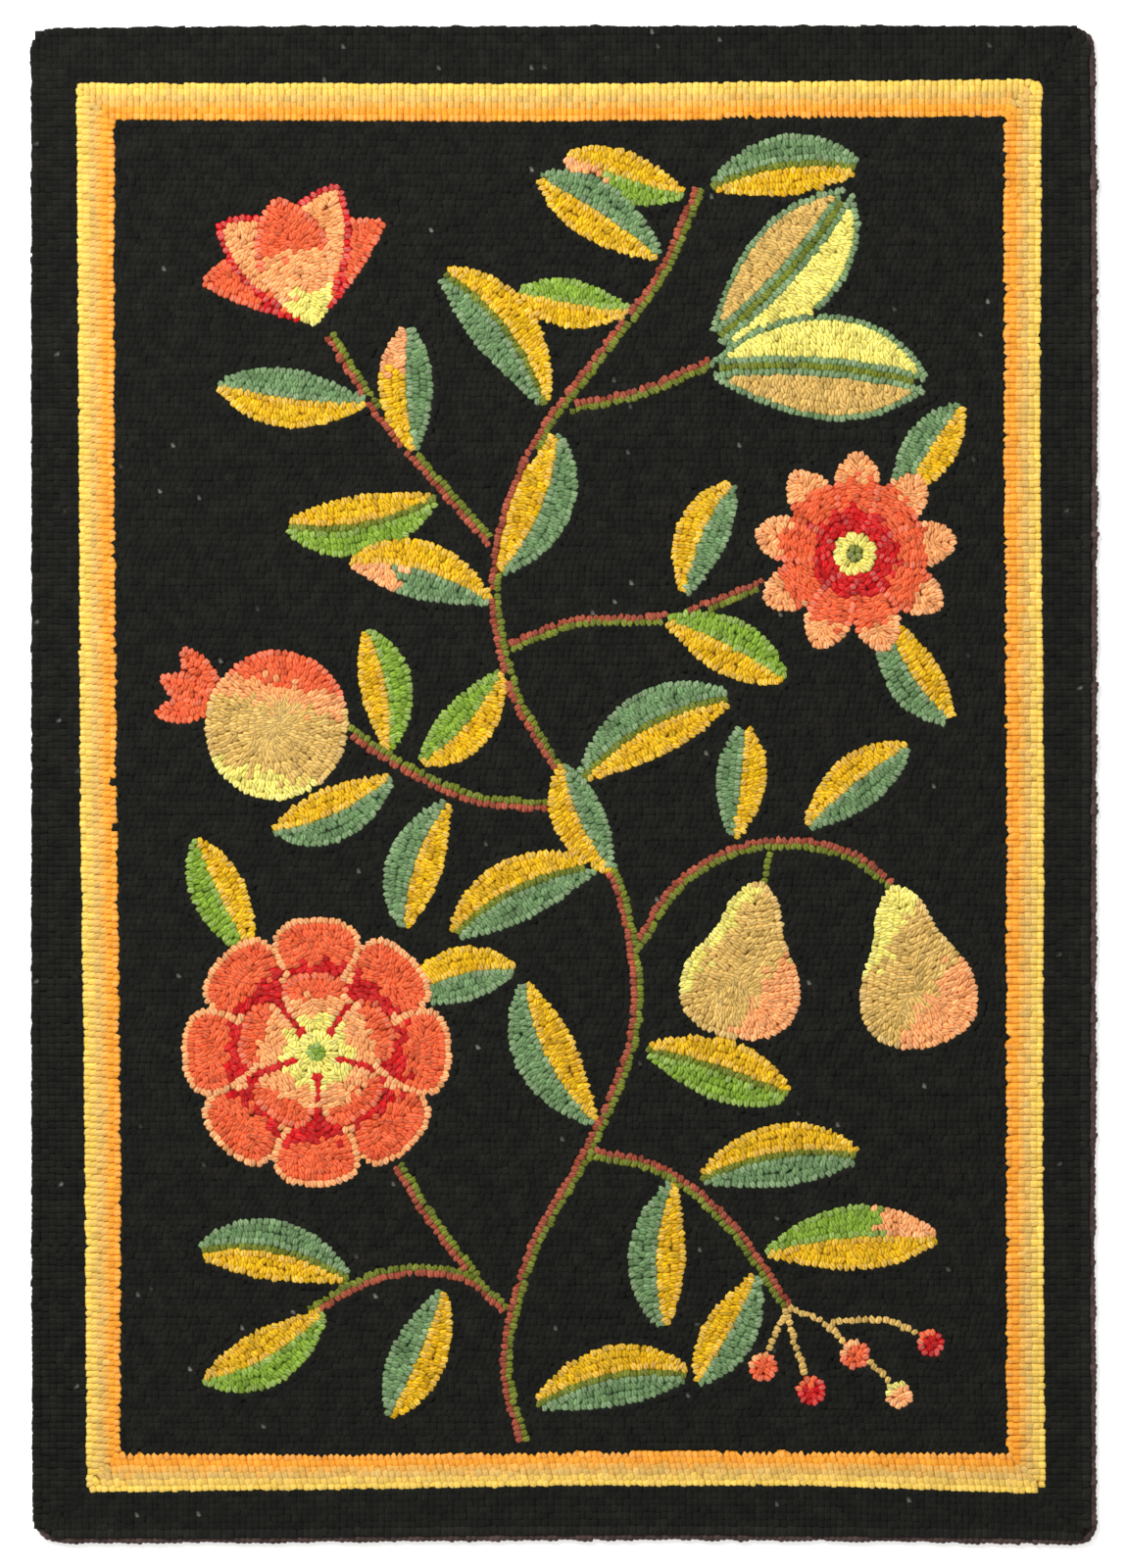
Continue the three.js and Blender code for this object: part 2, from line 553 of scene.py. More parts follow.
Berry = namedtuple("Berry", "x y radius wool shine")
BERRIES = (
    Berry(100, -292, 7.5, "coral", "peach"),
    Berry(124, -304, 7.5, "red", "coral"),
    Berry(146, -286, 7.5, "coral", "peach"),
    Berry(168, -306, 7.0, "peach", "lemon"),
    Berry(184, -280, 7.0, "red", "coral"),
)
TWIGS = (
    ((112, -262), (106, -276), (100, -290)),
    ((112, -262), (116, -282), (124, -302)),
    ((112, -262), (130, -270), (146, -284)),
    ((130, -270), (152, -288), (168, -304)),
    ((130, -270), (160, -268), (184, -278)),
)


def leaf_marks(leaf):
    """A leaf in two wools, one on each side of its midrib, some with a vein or a blushing tip."""
    left, midrib, right = blade(*leaf[:7])
    marks = []
    left_seam = right_seam = midrib
    if leaf.vein:
        marks.append(Row(leaf.vein, midrib[3:-3]))
        left_seam, right_seam = (beside(midrib, edge, VEIN_ROOM) for edge in (left, right))
    zones = ((TIP_START, leaf.left), (1.0, leaf.tip)) if leaf.tip else plain(leaf.left)
    ends = midrib[0], midrib[-1]
    marks.append(Patch(np.concatenate([left_seam, left[-2:0:-1]]), *ends, zones, None))
    marks.append(Patch(np.concatenate([right, right_seam[-2:0:-1]]), *ends, plain(leaf.right), None))
    return marks


def beside(midrib, edge, room):
    """The midrib moved towards an edge by the room that a vein takes, as far as the edge allows."""
    towards = edge - midrib
    reach = np.maximum(np.hypot(*towards.T), 1e-6)
    return midrib + towards * np.minimum(room / reach, 1.0)[:, None]


def broad_leaf_marks(leaf):
    """A broad leaf edged in sage, with a midrib and a different wool on each side."""
    left, midrib, right = blade(*leaf[:6], rise=0.7, taper=1.9, fall=0.8)
    left_seam, right_seam = (beside(midrib, edge, VEIN_ROOM) for edge in (left, right))
    ends = midrib[0], midrib[-1]
    return [
        Row("moss", midrib[3:-4]),
        Patch(np.concatenate([left_seam, left[-2:0:-1]]), *ends, plain(leaf.left), "sage"),
        Patch(np.concatenate([right, right_seam[-2:0:-1]]), *ends, plain(leaf.right), "sage"),
    ]


def stem_marks(stem):
    """A stem as one row for each of its wools, side by side."""
    line = smooth(stem.points)
    middle = 0.5 * (len(stem.wools) - 1)
    return [
        Row(wool, offset(line, (middle - index) * STEM_ROW_ROOM, closed=False))
        for index, wool in enumerate(stem.wools)
    ]


def bloom_marks(bloom):
    """A flower's eye, its rings of petals from the inside out, and the bed between them."""
    marks = [disc(bloom.x, bloom.y, radius, plain(wool)) for wool, radius in bloom.eye]
    for petals in bloom.rings:
        for index in [*range(0, petals.petals, 2), *range(1, petals.petals, 2)]:
            heading = petals.turn + index * 360 / petals.petals
            x, y = placed([[petals.inner, 0]], bloom.x, bloom.y, heading)[0]
            edges = blade(
                x, y, heading, petals.outer - petals.inner, petals.width,
                rise=petals.rise, taper=petals.taper, fall=petals.fall,
            )
            marks.append(whole(edges, petals.zones, petals.rim))
    wool, radius = bloom.bed
    return [*marks, disc(bloom.x, bloom.y, radius, plain(wool))]


def tulip_marks(tulip):
    """A flower seen from the side, its petals fanned from one base, the middle one on top."""
    return [
        whole(
            blade(
                tulip.x, tulip.y, tulip.heading + petal.turn, petal.length, petal.width, petal.bow,
                rise=0.6, taper=2.2, fall=0.8,
            ),
            petal.zones,
            petal.rim,
        )
        for petal in tulip.petals
    ]


def pear_marks(pear):
    """A pear from its stalk down, pale on one side and blushing on the other."""
    patch = whole(blade(*pear, rise=0.58, taper=4.5, fall=0.5, waist=0.2), PEAR_ZONES)
    sides = [[-0.5 * pear.width, 0], [0.5 * pear.width, 0]]
    start, end = placed(sides, *patch.outline.mean(axis=0), BLUSH_HEADING)
    return [patch._replace(start=start, end=end)]


def pomegranate_marks(fruit):
    """A round fruit, shaded across, with a crown of three points."""
    crown_base = [[fruit.radius - CROWN_DEPTH, 0]]
    x, y = placed(crown_base, fruit.x, fruit.y, fruit.crown)[0]
    heading = fruit.crown + ZONES_TURN
    return [
        disc(fruit.x, fruit.y, fruit.radius, POMEGRANATE_ZONES, heading, squash=0.95),
        *(whole(blade(x, y, fruit.crown + turn, *CROWN_SIZE), plain("coral")) for turn in CROWN_TURNS),
    ]


def berry_marks(berry):
    """A round berry with a shine at its upper left."""
    zones = ((0.7, berry.wool), (1.0, berry.shine))
    return [disc(berry.x, berry.y, berry.radius, zones, heading=120)]


@lru_cache(maxsize=1)
def design():
    """Every mark of the design, the topmost first."""
    marks = []
    for make, table in (
        (berry_marks, BERRIES),
        (bloom_marks, BLOOMS),
        (tulip_marks, TULIPS),
        (pear_marks, PEARS),
        (pomegranate_marks, POMEGRANATES),
        (leaf_marks, LEAVES),
        (broad_leaf_marks, BROAD_LEAVES),
        (stem_marks, STEMS),
    ):
        for row in table:
            marks += make(row)
    return marks + [Row("tan", smooth(points)) for points in TWIGS]


# Hooking
#
# The cloth remembers in small cells where it is already full, so that each row is laid beside
# the rows before it and stops where they leave no room.


# Zones of the rug, in the order of every table below that goes by zone
BORDER, FRAME, GROUND, MOTIF = range(4)

# Size of a cell, how far round a loop the cloth is full, and bare cloth left round the rug
CELL = 0.25
CLEARANCE = 2.4
CLOTH_MARGIN = 10

# Step of the grid that holes are filled on, and how far inside an outline the filling stays
FILL_STEP = 0.8
FILL_MARGIN = 1.1

# Step of a patch's outline, and how much nearer to it than its row's depth a loop may come
OUTLINE_STEP = 0.8
ROW_SLACK = 0.35

# How ragged the change from one zone of a patch to the next is, as a share of its length
ZONE_RAGGEDNESS = 0.035

# Height of the waves in the straight rows of the ground, and their length over two pi
WAVE_HEIGHT = 0.25
WAVE_RUN = 40

# Rounds of settling, loops looked at in a cell, how hard neighbours push each other apart, and
# how far the loops of each zone give
SETTLING_ROUNDS = 8
CELL_SLOTS = 6
PUSH = 0.3
REACH = (0.5, 0.3, 1.3, 0.8)

# The outermost rows on these sides are paler, where the whipping shows
PALER_SIDES = ("bottom", "right")

# Places, headings, indices of wools, zones of the rug, which lie on the rim of a colour and how
# far each is shaded into the next wool
Loops = namedtuple("Loops", "points headings wools zones rims blends")


class Cloth:
    """The foundation cloth, with the loops that are hooked through it so far."""

    def __init__(self, across, along, seed):
        self.across = across
        self.along = along
        self.pitch = 0.5 * (across + along)
        self.random = np.random.default_rng(seed)
        self.corner = np.array([-HALF_WIDTH, -HALF_LENGTH]) - CLOTH_MARGIN
        width, length = (-2 * self.corner / CELL).astype(int)
        self.full = np.zeros((length, width), bool)
        span = np.arange(-int(CLEARANCE / CELL), int(CLEARANCE / CELL) + 1)
        x, y = (grid.ravel() for grid in np.meshgrid(span, span))
        near = x**2 + y**2 <= (CLEARANCE / CELL) ** 2
        self.stamp = x[near], y[near]
        self.batches = []

    def free(self, points):
        """Which points have room for a loop."""
        x, y = np.rint((points - self.corner) / CELL).astype(int).T
        return ~self.full[y, x]

    def open(self, points):
        """Which points lie in open cloth, and not in a chink that a filling has passed over."""
        return self.free(np.rint(points / FILL_STEP) * FILL_STEP)

    def hook(self, points, headings, wools, zone, rim=0.0, blend=0.0):
        """Hooks loops wherever there is still room."""
        room = self.free(points)
        x, y = np.rint((points[room] - self.corner) / CELL).astype(int).T
        self.full[y[:, None] + self.stamp[1], x[:, None] + self.stamp[0]] = True
        batch = points, headings, wools, zone, rim, blend
        self.batches.append(
            [np.broadcast_to(part, points.shape[: max(np.ndim(part), 1)])[room] for part in batch]
        )

    def fill(self, outline, holds, heading, wools_at, zone):
        """Hooks single loops into the holes that the rows leave inside an outline.

        It tries the points of one grid that is the same for all fillings.
        """
        left, low = np.floor(outline.min(axis=0) / FILL_STEP) * FILL_STEP
        right, high = outline.max(axis=0)
        steps = int(round(self.pitch / FILL_STEP))
        for start in range(steps * steps):
            xs = np.arange(left + start % steps * FILL_STEP, right, steps * FILL_STEP)
            ys = np.arange(low + start // steps * FILL_STEP, high, steps * FILL_STEP)
            points = np.stack([grid.ravel() for grid in np.meshgrid(xs, ys)], axis=1)
            points = points[self.free(points)]
            points = points[holds(points)]
            self.hook(points, heading, wools_at(points), zone)

    def loops(self):
        """All the loops that are hooked so far."""
        return Loops(*(np.concatenate(column) for column in zip(*self.batches)))


def zone_wools(points, patch, random):
    """The wool at each point of a patch, with ragged changes from one zone to the next."""
    axis = patch.end - patch.start
    along = (points - patch.start) @ axis / (axis @ axis)
    along += random.normal(0, ZONE_RAGGEDNESS, len(points))
    limits = [limit for limit, _ in patch.zones[:-1]]
    names = np.array([YARN_NAMES.index(wool) for _, wool in patch.zones])
    return names[np.searchsorted(limits, along)]


def hook_patch(cloth, patch):
    """Rows follow the outline one inside the other until none fits, then the holes are filled."""
    outline = resample(patch.outline, OUTLINE_STEP, closed=True)[0]
    depth = 0.5 * cloth.pitch
    first = True
    while True:
        points, headings = resample(offset(outline, depth, closed=True), cloth.pitch, closed=True)
        keep = inside(points, outline)
        keep[keep] = distance(points[keep], outline) > depth - ROW_SLACK
        if not keep.any():
            break
        points, headings = points[keep], headings[keep]
        if first and patch.rim:
            wools = YARN_NAMES.index(patch.rim)
        else:
            wools = zone_wools(points, patch, cloth.random)
        cloth.hook(points, headings, wools, MOTIF, float(first))
        depth += cloth.pitch
        first = False
    axis = patch.end - patch.start
    cloth.fill(
        outline,
        lambda points: inside(points, outline) & (distance(points, outline) > FILL_MARGIN),
        np.arctan2(axis[1], axis[0]),
        lambda points: zone_wools(points, patch, cloth.random),
        MOTIF,
    )


def hook_row(cloth, row):
    """One row of loops along a line."""
    points, headings = resample(row.line, cloth.pitch, closed=False)
    cloth.hook(points, headings, YARN_NAMES.index(row.wool), MOTIF)


def in_gap(points):
    """Which points lie in a gap of the frame line."""
    return np.any([np.hypot(*(points - (x, y)).T) < reach for x, y, reach in GAPS], axis=0)


def hook_courses(cloth, outer, inner, rows, zone, limit):
    """Rows from one course to another, their loops abreast so that ribs run across them.

    In the frame line each row may be shifted along from the last, so that the ribs slant.
    """
    for side in SIDES:
        flat = side in ("bottom", "top")
        pitch = cloth.across if flat else cloth.along
        wools = [YARN_NAMES.index(wool) for wool in rows[side]]
        for index, wool in enumerate(wools):
            share = (index + 0.5) / len(wools)
            course = {each: blend_course(outer[each], inner[each], share) for each in SIDES}
            start, end = side_ends(course, side)
            slant = RIB_SLANT[side] if zone == FRAME else 0.0
            shift = index * slant % 1
            run = (np.arange(np.ceil(start / pitch), np.floor(end / pitch)) + shift) * pitch
            points = side_points(course, side, run)
            points = points[inside(points, limit) & ~in_gap(points)]
            blend = 0.0
            if zone == FRAME:
                rim = float(index in (0, len(wools) - 1))
                blend = SHADED_ROW * (index % 2) + cloth.random.normal(0, SHADING_JITTER, len(points))
            else:
                rim = float(index == 0 and side in PALER_SIDES)
            heading = (0.0 if flat else 0.5 * np.pi) - np.arctan(slant)
            cloth.hook(points, heading, wool, zone, rim, np.clip(blend, 0, 1))


def frame_wools(points, frame_ring):
    """The wool of the frame row that each point lies in, by its distance from the outside."""
    names = np.array([YARN_NAMES.index(wool) for wool in FRAME_WOOLS])
    index = (distance(points, frame_ring) / FRAME_ROW_WIDTH).astype(int)
    return names[np.clip(index, 0, len(names) - 1)]


def blend_course(outer, inner, share):
    """One side of the course that lies a share of the way from an outer one to an inner one."""
    steps = np.linspace(0, 1, COURSE_STEPS)
    spread = [np.interp(steps, np.linspace(0, 1, len(side)), side) for side in (outer, inner)]
    return (1 - share) * spread[0] + share * spread[1]


def hook_ground(cloth, patches):
    """One black row round every patch, then straight rows right across the field."""
    black = YARN_NAMES.index("black")
    field = ring(inset(FRAME_INSIDE, 0.5 * cloth.across), SQUARE_CORNERS)
    for patch in patches:
        outline = resample(patch.outline, OUTLINE_STEP, closed=True)[0]
        around = offset(outline, -0.5 * cloth.pitch, closed=True)
        points, headings = resample(around, cloth.pitch, closed=True)
        keep = inside(points, field) & cloth.open(points)
        cloth.hook(points[keep], headings[keep], black, GROUND)
    (left, low), (right, high) = field.min(axis=0), field.max(axis=0)
    x, y = np.meshgrid(np.arange(left, right, cloth.across), np.arange(low, high, cloth.along))
    row = (len(x), 1)
    x = x + cloth.random.uniform(-0.5, 0.5, row) * cloth.across
    y = y + WAVE_HEIGHT * np.sin(x / WAVE_RUN + cloth.random.uniform(0, 2 * np.pi, row))
    points = np.stack([x.ravel(), y.ravel()], axis=1)
    cloth.hook(points[inside(points, field) & cloth.open(points)], 0.0, black, GROUND)


def settled(points, spacing, reach):
    """Loops pushed apart from neighbours nearer than the spacing, none further than its reach.

    Each round sorts the loops into square cells as wide as the spacing, so that a loop's near
    neighbours are in its own cell and the eight around it.
    """
    home = points
    for _ in range(SETTLING_ROUNDS):
        cell = np.floor((points - points.min(axis=0)) / spacing).astype(int) + 1
        columns = cell[:, 0].max() + 2
        key = cell[:, 1] * columns + cell[:, 0]
        order = np.argsort(key, kind="stable")
        rank = np.arange(len(order)) - np.searchsorted(key[order], key[order])
        table = np.full((columns * (cell[:, 1].max() + 2), CELL_SLOTS), -1)
        fits = rank < CELL_SLOTS
        table[key[order[fits]], rank[fits]] = order[fits]
        push = np.zeros_like(points)
        for step in (down * columns + right for down in (-1, 0, 1) for right in (-1, 0, 1)):
            for other in table[key + step].T:
                apart = points - points[other]
                gap = np.hypot(*apart.T)
                close = (other >= 0) & (gap < spacing) & (gap > 1e-6)
                share = PUSH * (spacing / np.maximum(gap, 1e-6) - 1)
                push += apart * np.where(close, share, 0.0)[:, None]
        moved = points + push - home
        points = home + moved / np.maximum(np.hypot(*moved.T) / reach, 1.0)[:, None]
    return points


@lru_cache(maxsize=1)
def hooked(across, along, seed):
    """Every loop of the rug, for its two pitches and its seed."""
    cloth = Cloth(across, along, seed)
    black = YARN_NAMES.index("black")
    edge = edge_ring({side: room + LOOP_MARGIN for side, room in LOOP_ROOM.items()})
    frame_ring = ring(FRAME_OUTSIDE, FRAME_CORNERS)
    frame_limit = ring(inset(FRAME_OUTSIDE, FILL_MARGIN), FRAME_CORNERS)
    hook_courses(cloth, FRAME_OUTSIDE, FRAME_INSIDE, FRAME_ROWS, FRAME, frame_limit)
    field_limit = ring(inset(FRAME_INSIDE, -FILL_MARGIN), SQUARE_CORNERS)
    cloth.fill(
        frame_ring,
        lambda points: inside(points, frame_limit) & ~inside(points, field_limit) & ~in_gap(points),
        0.25 * np.pi,
        lambda points: frame_wools(points, frame_ring),
        FRAME,
    )
    for mark in design():
        if isinstance(mark, Row):
            hook_row(cloth, mark)
        else:
            hook_patch(cloth, mark)
    hook_courses(cloth, inset(RUG_EDGE, LOOP_ROOM), FRAME_OUTSIDE, BORDER_ROWS, BORDER, edge)
    hook_ground(cloth, [mark for mark in design() if isinstance(mark, Patch)])
    for zone, holds in (
        (BORDER, lambda points: inside(points, edge) & ~inside(points, frame_ring)),
        (GROUND, lambda points: inside(points, edge)),
    ):
        cloth.fill(edge, holds, 0.0, lambda points: np.full(len(points), black), zone)
    loops = cloth.loops()
    return loops._replace(points=settled(loops.points, across, np.take(REACH, loops.zones)))


def planned():
    """The loops for the sidebar's sizes, worked out once."""
    rug = settings()
    return hooked(rug.pitch_across / MM, rug.pitch_along / MM, rug.seed)


# Meshes


def mesh_object(name, points, faces, smooth_shaded=True):
    """A mesh from whole arrays of points, in millimetres, and of triangles or quads."""
    mesh = bpy.data.meshes.new(name)
    corners = faces.shape[1]
    mesh.vertices.add(len(points))
    mesh.vertices.foreach_set("co", np.ascontiguousarray(points * MM, np.float32).ravel())
    mesh.loops.add(faces.size)
    mesh.loops.foreach_set("vertex_index", np.ascontiguousarray(faces, np.int32).ravel())
    mesh.polygons.add(len(faces))
    mesh.polygons.foreach_set("loop_start", np.arange(0, faces.size, corners, dtype=np.int32))
    mesh.polygons.foreach_set("use_smooth", np.full(len(faces), smooth_shaded))
    mesh.update(calc_edges=True)
    piece = bpy.data.objects.new(name, mesh)
    bpy.context.collection.objects.link(piece)
    return piece


def add_attribute(piece, name, kind, values):
    """A value or a vector for every point of a piece."""
    field = "vector" if kind == "FLOAT_VECTOR" else "value"
    attribute = piece.data.attributes.new(name, kind, "POINT")
    attribute.data.foreach_set(field, np.ascontiguousarray(values, np.float32).ravel())


def add_bake_map(piece, corners):
    """A map that gives every face its own room in a baked texture."""
    layer = piece.data.uv_layers.new(name="OFBake")
    layer.uv.foreach_set("vector", np.ascontiguousarray(corners, np.float32).ravel())


def finish_piece(piece, material, slot, *nodes):
    """A piece with its material, its slot and the nodes that it replaces."""
    piece.data.materials.append(material)
    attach(piece, "root")
    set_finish(piece, slot)
    if nodes:
        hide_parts(*nodes)
    return piece


# Loops
#
# A loop seen from above is a grain that lies across its row. It stands on four points at its
# foot, narrows to six at its shoulder and ends in a short ridge of two. Half-lengths are across
# and along the row, and depths are below the ridge. The feet meet, so that no cloth shows.


FOOT = (2.6, 2.6)
FOOT_DEPTH = 4.2
SHOULDER = ((1.85, 0.0), (1.1, 1.38), (-1.1, 1.38), (-1.85, 0.0), (-1.1, -1.38), (1.1, -1.38))
SHOULDER_DEPTH = 0.8
RIDGE = 0.9

# Most loops of the ground in one piece, which keeps it under 200,000 triangles
MOST_LOOPS = 9500

# Unevenness by zone of the loops' headings and places, and that of every loop's size, of its
# lean, and of how far it sinks, with the furthest that it can
TURN_JITTER = (0.12, 0.05, 0.16, 0.3)
PLACE_JITTER = (0.18, 0.06, 0.18, 0.2)
SIZE_JITTER = 0.08
LEAN_JITTER = 0.2
SINKING = 0.3
DEEPEST = 1.0

# How much wider and longer the loops of each zone lie than the pattern
SPREAD = ((1.2, 1.12), (1.32, 0.98), (1.12, 1.12), (1.08, 0.94))

# How much the loops of each zone differ in tint, how bright the painted shade leaves the slits
# between loops and the grooves along them, and how strong the painted highlight on the tips is
TINT_JITTER = (0.08, 0.06, 0.08, 0.13)
ROOT_SHADES = (0.8, 0.78, 0.8, 0.58)
GROOVE_SHADES = (0.8, 0.86, 0.8, 0.42)
TIP_HIGHLIGHTS = (0.0, 0.03, 0.0, 0.05)

# How many times the jitter a loop's tint may differ by
TINT_LIMIT = 2

# Loops on the rims of the frame line are drawn up shorter, to this share of their length
RIM_LENGTH = 0.8

# How much paler the painted highlight makes the tips on the rim of a colour, and how much
# brighter the outermost black rows are on the paler sides
RIM_HIGHLIGHT = 4.0
PALER_ROW_TINT = 0.4

# Share of the black loops with pale lint on one tip, and how many times as pale that is
LINT_SHARE = 0.003
LINT_TINT = (4.0, 18.0)

# Length of yarn that the loops' fibres are taken from
STRAND_LENGTH = 400

# How far a loop's foot, shoulder and ridge reach from the middle of its square of the bake map,
# and the middle and size of its sole there, as shares of the square's side
MAP_REACH = (0.46, 0.33, 0.1)
SOLE_PLACE = 0.04
SOLE_SIZE = 0.06

# How far the crowns nearest the edge lean out over the whipping, towards -X, +X, -Y and +Y, and
# how near the edge that is
EDGE_LEAN = (1.2, 0.0, 0.2, 1.2)
EDGE_REACH = 5.0


def loop_pattern():
    """Points of one loop about the middle of its ridge, and its triangles, facing outwards."""
    corners = np.array([(1, 1), (-1, 1), (-1, -1), (1, -1)])
    points = np.concatenate(
        [
            np.column_stack([corners * FOOT, np.full(4, -FOOT_DEPTH)]),
            np.column_stack([SHOULDER, np.full(6, -SHOULDER_DEPTH)]),
            [(RIDGE, 0, 0), (-RIDGE, 0, 0)],
        ]
    )
    sole = [(0, 2, 1), (0, 3, 2)]
    sides = [
        (0, 1, 6), (0, 6, 5), (1, 2, 7), (1, 7, 6), (2, 8, 7),
        (2, 3, 9), (2, 9, 8), (3, 0, 4), (3, 4, 9), (0, 5, 4),
    ]
    top = [
        (4, 5, 10), (5, 6, 11), (5, 11, 10), (6, 7, 11),
        (7, 8, 11), (8, 9, 10), (8, 10, 11), (9, 4, 10),
    ]
    return points, np.array(sole + sides + top)


def loop_cells(count, pattern, faces):
    """Each loop's own square of the bake map: its view from above, with its sole in a corner."""
    across = int(np.ceil(np.sqrt(count)))
    spread = np.repeat(MAP_REACH, [4, 6, 2])[:, None]
    turn = np.arctan2(pattern[:, 1], pattern[:, 0])
    corners = (0.5 + spread * np.stack([np.cos(turn), np.sin(turn)], axis=1))[faces]
    corners[:2] = SOLE_PLACE + SOLE_SIZE * (corners[:2] - 0.5)
    index = np.arange(count)
    squares = np.stack([index % across, index // across], axis=1)
    return (squares[:, None, None, :] + corners[None]) / across


def edge_lean(points):
    """Outward lean of the crowns nearest the rug's edge."""
    near = np.abs(points) > np.array([HALF_WIDTH, HALF_LENGTH]) - EDGE_REACH
    left, right, bottom, top = EDGE_LEAN
    lean = np.where(points < 0, (-left, -bottom), (right, top))
    return np.where(near, lean, 0.0)


def hook_piece(name, wool, keep):
    """Loops of one wool as one piece: the pattern sized, turned and leaned at every place.

    A point is the loop's place, plus the pattern's point turned across the row, plus a lean
    that grows evenly from nothing at the foot to its whole at the crown.
    """
    rug = settings()
    loops = planned()
    random = np.random.default_rng([rug.seed, *name.encode()])
    points, headings, rims = loops.points[keep], loops.headings[keep], loops.rims[keep]
    count = len(points)
    pattern, faces = loop_pattern()
    local = np.repeat(pattern[None], count, axis=0)
    zones = loops.zones[keep]
    local[:, :, :2] *= random.uniform(1 - SIZE_JITTER, 1 + SIZE_JITTER, (count, 1, 2))
    local[:, :, :2] *= np.take(SPREAD, zones, axis=0)[:, None]
    local[:, :, 0] *= np.where((zones == FRAME) & (rims > 0), RIM_LENGTH, 1.0)[:, None]
    points = points + random.normal(0, 1, (count, 2)) * np.take(PLACE_JITTER, zones)[:, None]
    turn = headings + 0.5 * np.pi + random.normal(0, 1, count) * np.take(TURN_JITTER, zones)
    cos, sin = np.cos(turn)[:, None], np.sin(turn)[:, None]
    rise = 1 + local[:, :, 2] / FOOT_DEPTH
    lean = random.normal(0, LEAN_JITTER, (count, 2)) + edge_lean(points)
    x = points[:, :1] + cos * local[:, :, 0] - sin * local[:, :, 1] + lean[:, :1] * rise
    y = points[:, 1:] + sin * local[:, :, 0] + cos * local[:, :, 1] + lean[:, 1:] * rise
    sunk = np.abs(random.normal(0, SINKING, (count, 1))).clip(0, DEEPEST)
    z = rug.pile_top / MM - sunk + local[:, :, 2]
    places = np.stack([x, y, z], axis=2)
    each = np.arange(count)[:, None, None] * len(pattern) + faces[None]
    piece = mesh_object(name, places.reshape(-1, 3), each.reshape(-1, 3))
    differing = random.normal(0, 1, count).clip(-TINT_LIMIT, TINT_LIMIT)
    tint = 1 + differing * np.take(TINT_JITTER, zones)
    tint += PALER_ROW_TINT * rims * (zones == BORDER)
    tint = np.repeat(tint[:, None], len(pattern), axis=1)
    if wool == "black":
        linty = random.random(count) < LINT_SHARE
        tint[:, -1] *= np.where(linty, random.uniform(*LINT_TINT, count), 1.0)
    add_attribute(piece, "tint", "FLOAT", tint)
    # Painted shade at the roots and in the grooves, the painted highlight on the tips, and the shading
    # into the next wool
    for title, values in (
        ("slit", np.take(ROOT_SHADES, zones)),
        ("groove", np.take(GROOVE_SHADES, zones)),
        ("pale", np.take(TIP_HIGHLIGHTS, zones) * (1 + (RIM_HIGHLIGHT - 1) * rims)),
        ("blend", loops.blends[keep]),
    ):
        add_attribute(piece, title, "FLOAT", np.repeat(values, len(pattern)))
    strand = local + random.uniform(0, STRAND_LENGTH, (count, 1, 1)) * [0, 0, 1]
    add_attribute(piece, "strand", "FLOAT_VECTOR", strand)
    add_bake_map(piece, loop_cells(count, pattern, faces))
    return finish_piece(piece, wool_material(wool), YARNS[wool].slot)


# Materials


def socket(sockets, name):
    """A node's socket by its identifier, because a Mix node repeats its sockets' names."""
    return next(one for one in sockets if one.identifier == name)


def add_node(tree, kind, result, inputs=None, **options):
    """Adds a shader node, sets its options and its inputs or their links, and returns an output."""
    node = tree.nodes.new(f"ShaderNode{kind}")
    for name, value in options.items():
        setattr(node, name, value)
    for name, value in (inputs or {}).items():
        if isinstance(value, bpy.types.NodeSocket):
            tree.links.new(value, socket(node.inputs, name))
        else:
            socket(node.inputs, name).default_value = value
    return socket(node.outputs, result)


def new_material(name, roughness, nap):
    """A matt material, its node tree and its shader."""
    material = bpy.data.materials.new(name)
    material.use_nodes = True
    shader = material.node_tree.nodes["Principled BSDF"]
    shader.inputs["Roughness"].default_value = roughness
    shader.inputs["Specular IOR Level"].default_value = nap
    shader.inputs["Sheen Weight"].default_value = nap
    shader.inputs["Sheen Roughness"].default_value = 0.6
    return material, material.node_tree, shader


# Fibres are really 0.03 mm thick, and are drawn ten times as coarse so that they show
FIBRE = 0.3

# The yarn has two plies. The groove between them is this wide each way and crosses each loop at
# this slope.
GROOVE = 0.5
GROOVE_SLOPE = 0.3

# How much finer the fibres are along, across and up a loop than the pattern that they come from,
# and the size of the patches in which the duller strands come together
FIBRE_SCALE = (0.35, 1.6, 0.9)
HEATHER_PATCH = 9 * MM

# Heights over which a loop rises out of its neighbours' painted shade and over which a painted
# highlight pales its tip, and the colour of that painted highlight
ROOTS = (5.0 * MM, 7.2 * MM)
TIPS = (7.0 * MM, 7.9 * MM)
TIP_HIGHLIGHT = "#f2ead8"


